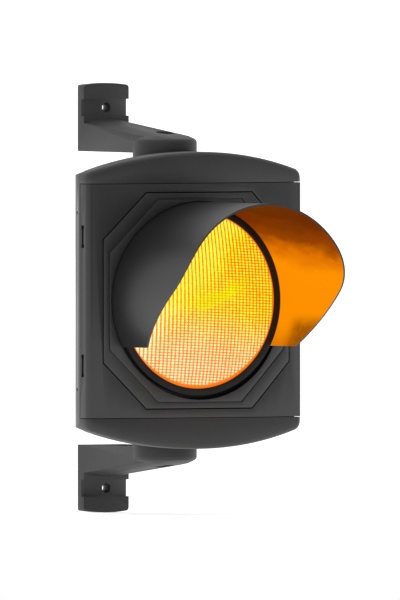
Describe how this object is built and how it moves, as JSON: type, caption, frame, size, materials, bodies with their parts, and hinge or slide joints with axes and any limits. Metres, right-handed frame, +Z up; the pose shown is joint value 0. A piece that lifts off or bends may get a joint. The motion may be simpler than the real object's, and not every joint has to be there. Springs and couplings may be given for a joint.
{
  "type": "traffic signal head",
  "caption": "Single-lamp amber traffic signal head with a cutaway visor, an opening door and swivelling pole brackets above and below.",
  "frame": {"origin": "midway between the upper and the lower pole bolt hole, on the plane of the pole plates' recessed backs", "axes": "+Z up, +Y towards the pole, so the lens faces -Y, and +X to the right as seen from the front"},
  "size_m": [0.2855, 0.3714, 0.4854],
  "materials": {
    "bracket_plastic": "fine moulded grain, satin",
    "housing_plastic": "fine moulded grain, satin",
    "cap_plastic": "fine moulded grain, satin",
    "door_plastic": "fine moulded grain, satin",
    "plate_plastic": "fine moulded grain, satin",
    "ring_plastic": "fine moulded grain, satin",
    "guide_plastic": "moulded, matt",
    "catch_plastic": "moulded, satin",
    "visor_plastic": "black outside, glossy amber inside",
    "module_plastic": "moulded, matt",
    "washer_rubber": "matt",
    "seal_rubber": "matt",
    "zinc_steel": "bright zinc plating",
    "stainless_steel": "stainless",
    "spring_steel": "stainless strip",
    "bush_brass": "turned brass",
    "terminal_plastic": "cream polyamide",
    "amber_lens": "lit amber polycarbonate with a pillow pattern",
    "clear_amber": "amber-tinted polycarbonate",
    "amber_led": "amber LED epoxy",
    "circuit_board": "solder mask",
    "component_plastic": "moulded component cases"
  },
  "bodies": {
    "brackets": {"upper_bracket": "bracket_plastic", "lower_bracket": "bracket_plastic", "swivel_washers": "washer_rubber", "hub_bolts": "zinc_steel", "hub_bolt_washers": "zinc_steel", "hub_nuts": "zinc_steel", "hub_nut_washers": "zinc_steel"},
    "head": {"rear_housing": "housing_plastic", "top_cap": "cap_plastic", "bottom_cap": "cap_plastic", "cap_screws": "stainless_steel", "hub_bushes": "bush_brass", "door_seal": "seal_rubber", "hinge_pins": "stainless_steel", "catch_guides": "guide_plastic", "catch_guide_screws": "stainless_steel", "upper_catch_spring": "spring_steel", "lower_catch_spring": "spring_steel", "cable_grommet": "seal_rubber", "terminal_rail": "zinc_steel", "terminal_block": "terminal_plastic", "terminal_screws": "bush_brass", "rail_screws": "stainless_steel"},
    "upper_catch": {"upper_catch": "catch_plastic"},
    "lower_catch": {"lower_catch": "catch_plastic"},
    "door": {"door_frame": "door_plastic", "visor_plate": "plate_plastic", "plate_screws": "stainless_steel", "visor": "visor_plastic", "visor_screws": "stainless_steel", "lens_ring": "ring_plastic", "lens": "amber_lens", "lens_gasket": "seal_rubber", "fresnel_lens": "clear_amber", "module_shell": "module_plastic", "module_clips": "spring_steel", "clip_screws": "stainless_steel", "led_board": "circuit_board", "leds": "amber_led", "board_spacers": "bush_brass", "driver_board": "circuit_board", "driver_parts": "component_plastic", "module_cover": "module_plastic", "cover_screws": "stainless_steel", "module_connector": "terminal_plastic"}
  },
  "joints": [
    {"name": "head_swivel", "type": "hinge", "parent": "brackets", "child": "head", "pos_m": [0, -0.1415, 0], "axis": [0, 0, 1], "range_deg": [-60, 60]},
    {"name": "door_hinge", "type": "hinge", "parent": "head", "child": "door", "pos_m": [0.1405, -0.197, 0], "axis": [0, 0, 1], "range_deg": [0, 105]},
    {"name": "upper_catch_press", "type": "slide", "parent": "head", "child": "upper_catch", "axis": [1, 0, 0], "range_m": [0, 0.003], "stiffness_N_per_m": 1500, "springref_m": -0.001, "deforming": ["upper_catch_spring"]},
    {"name": "lower_catch_press", "type": "slide", "parent": "head", "child": "lower_catch", "axis": [1, 0, 0], "range_m": [0, 0.003], "stiffness_N_per_m": 1500, "springref_m": -0.001, "deforming": ["lower_catch_spring"]}
  ]
}
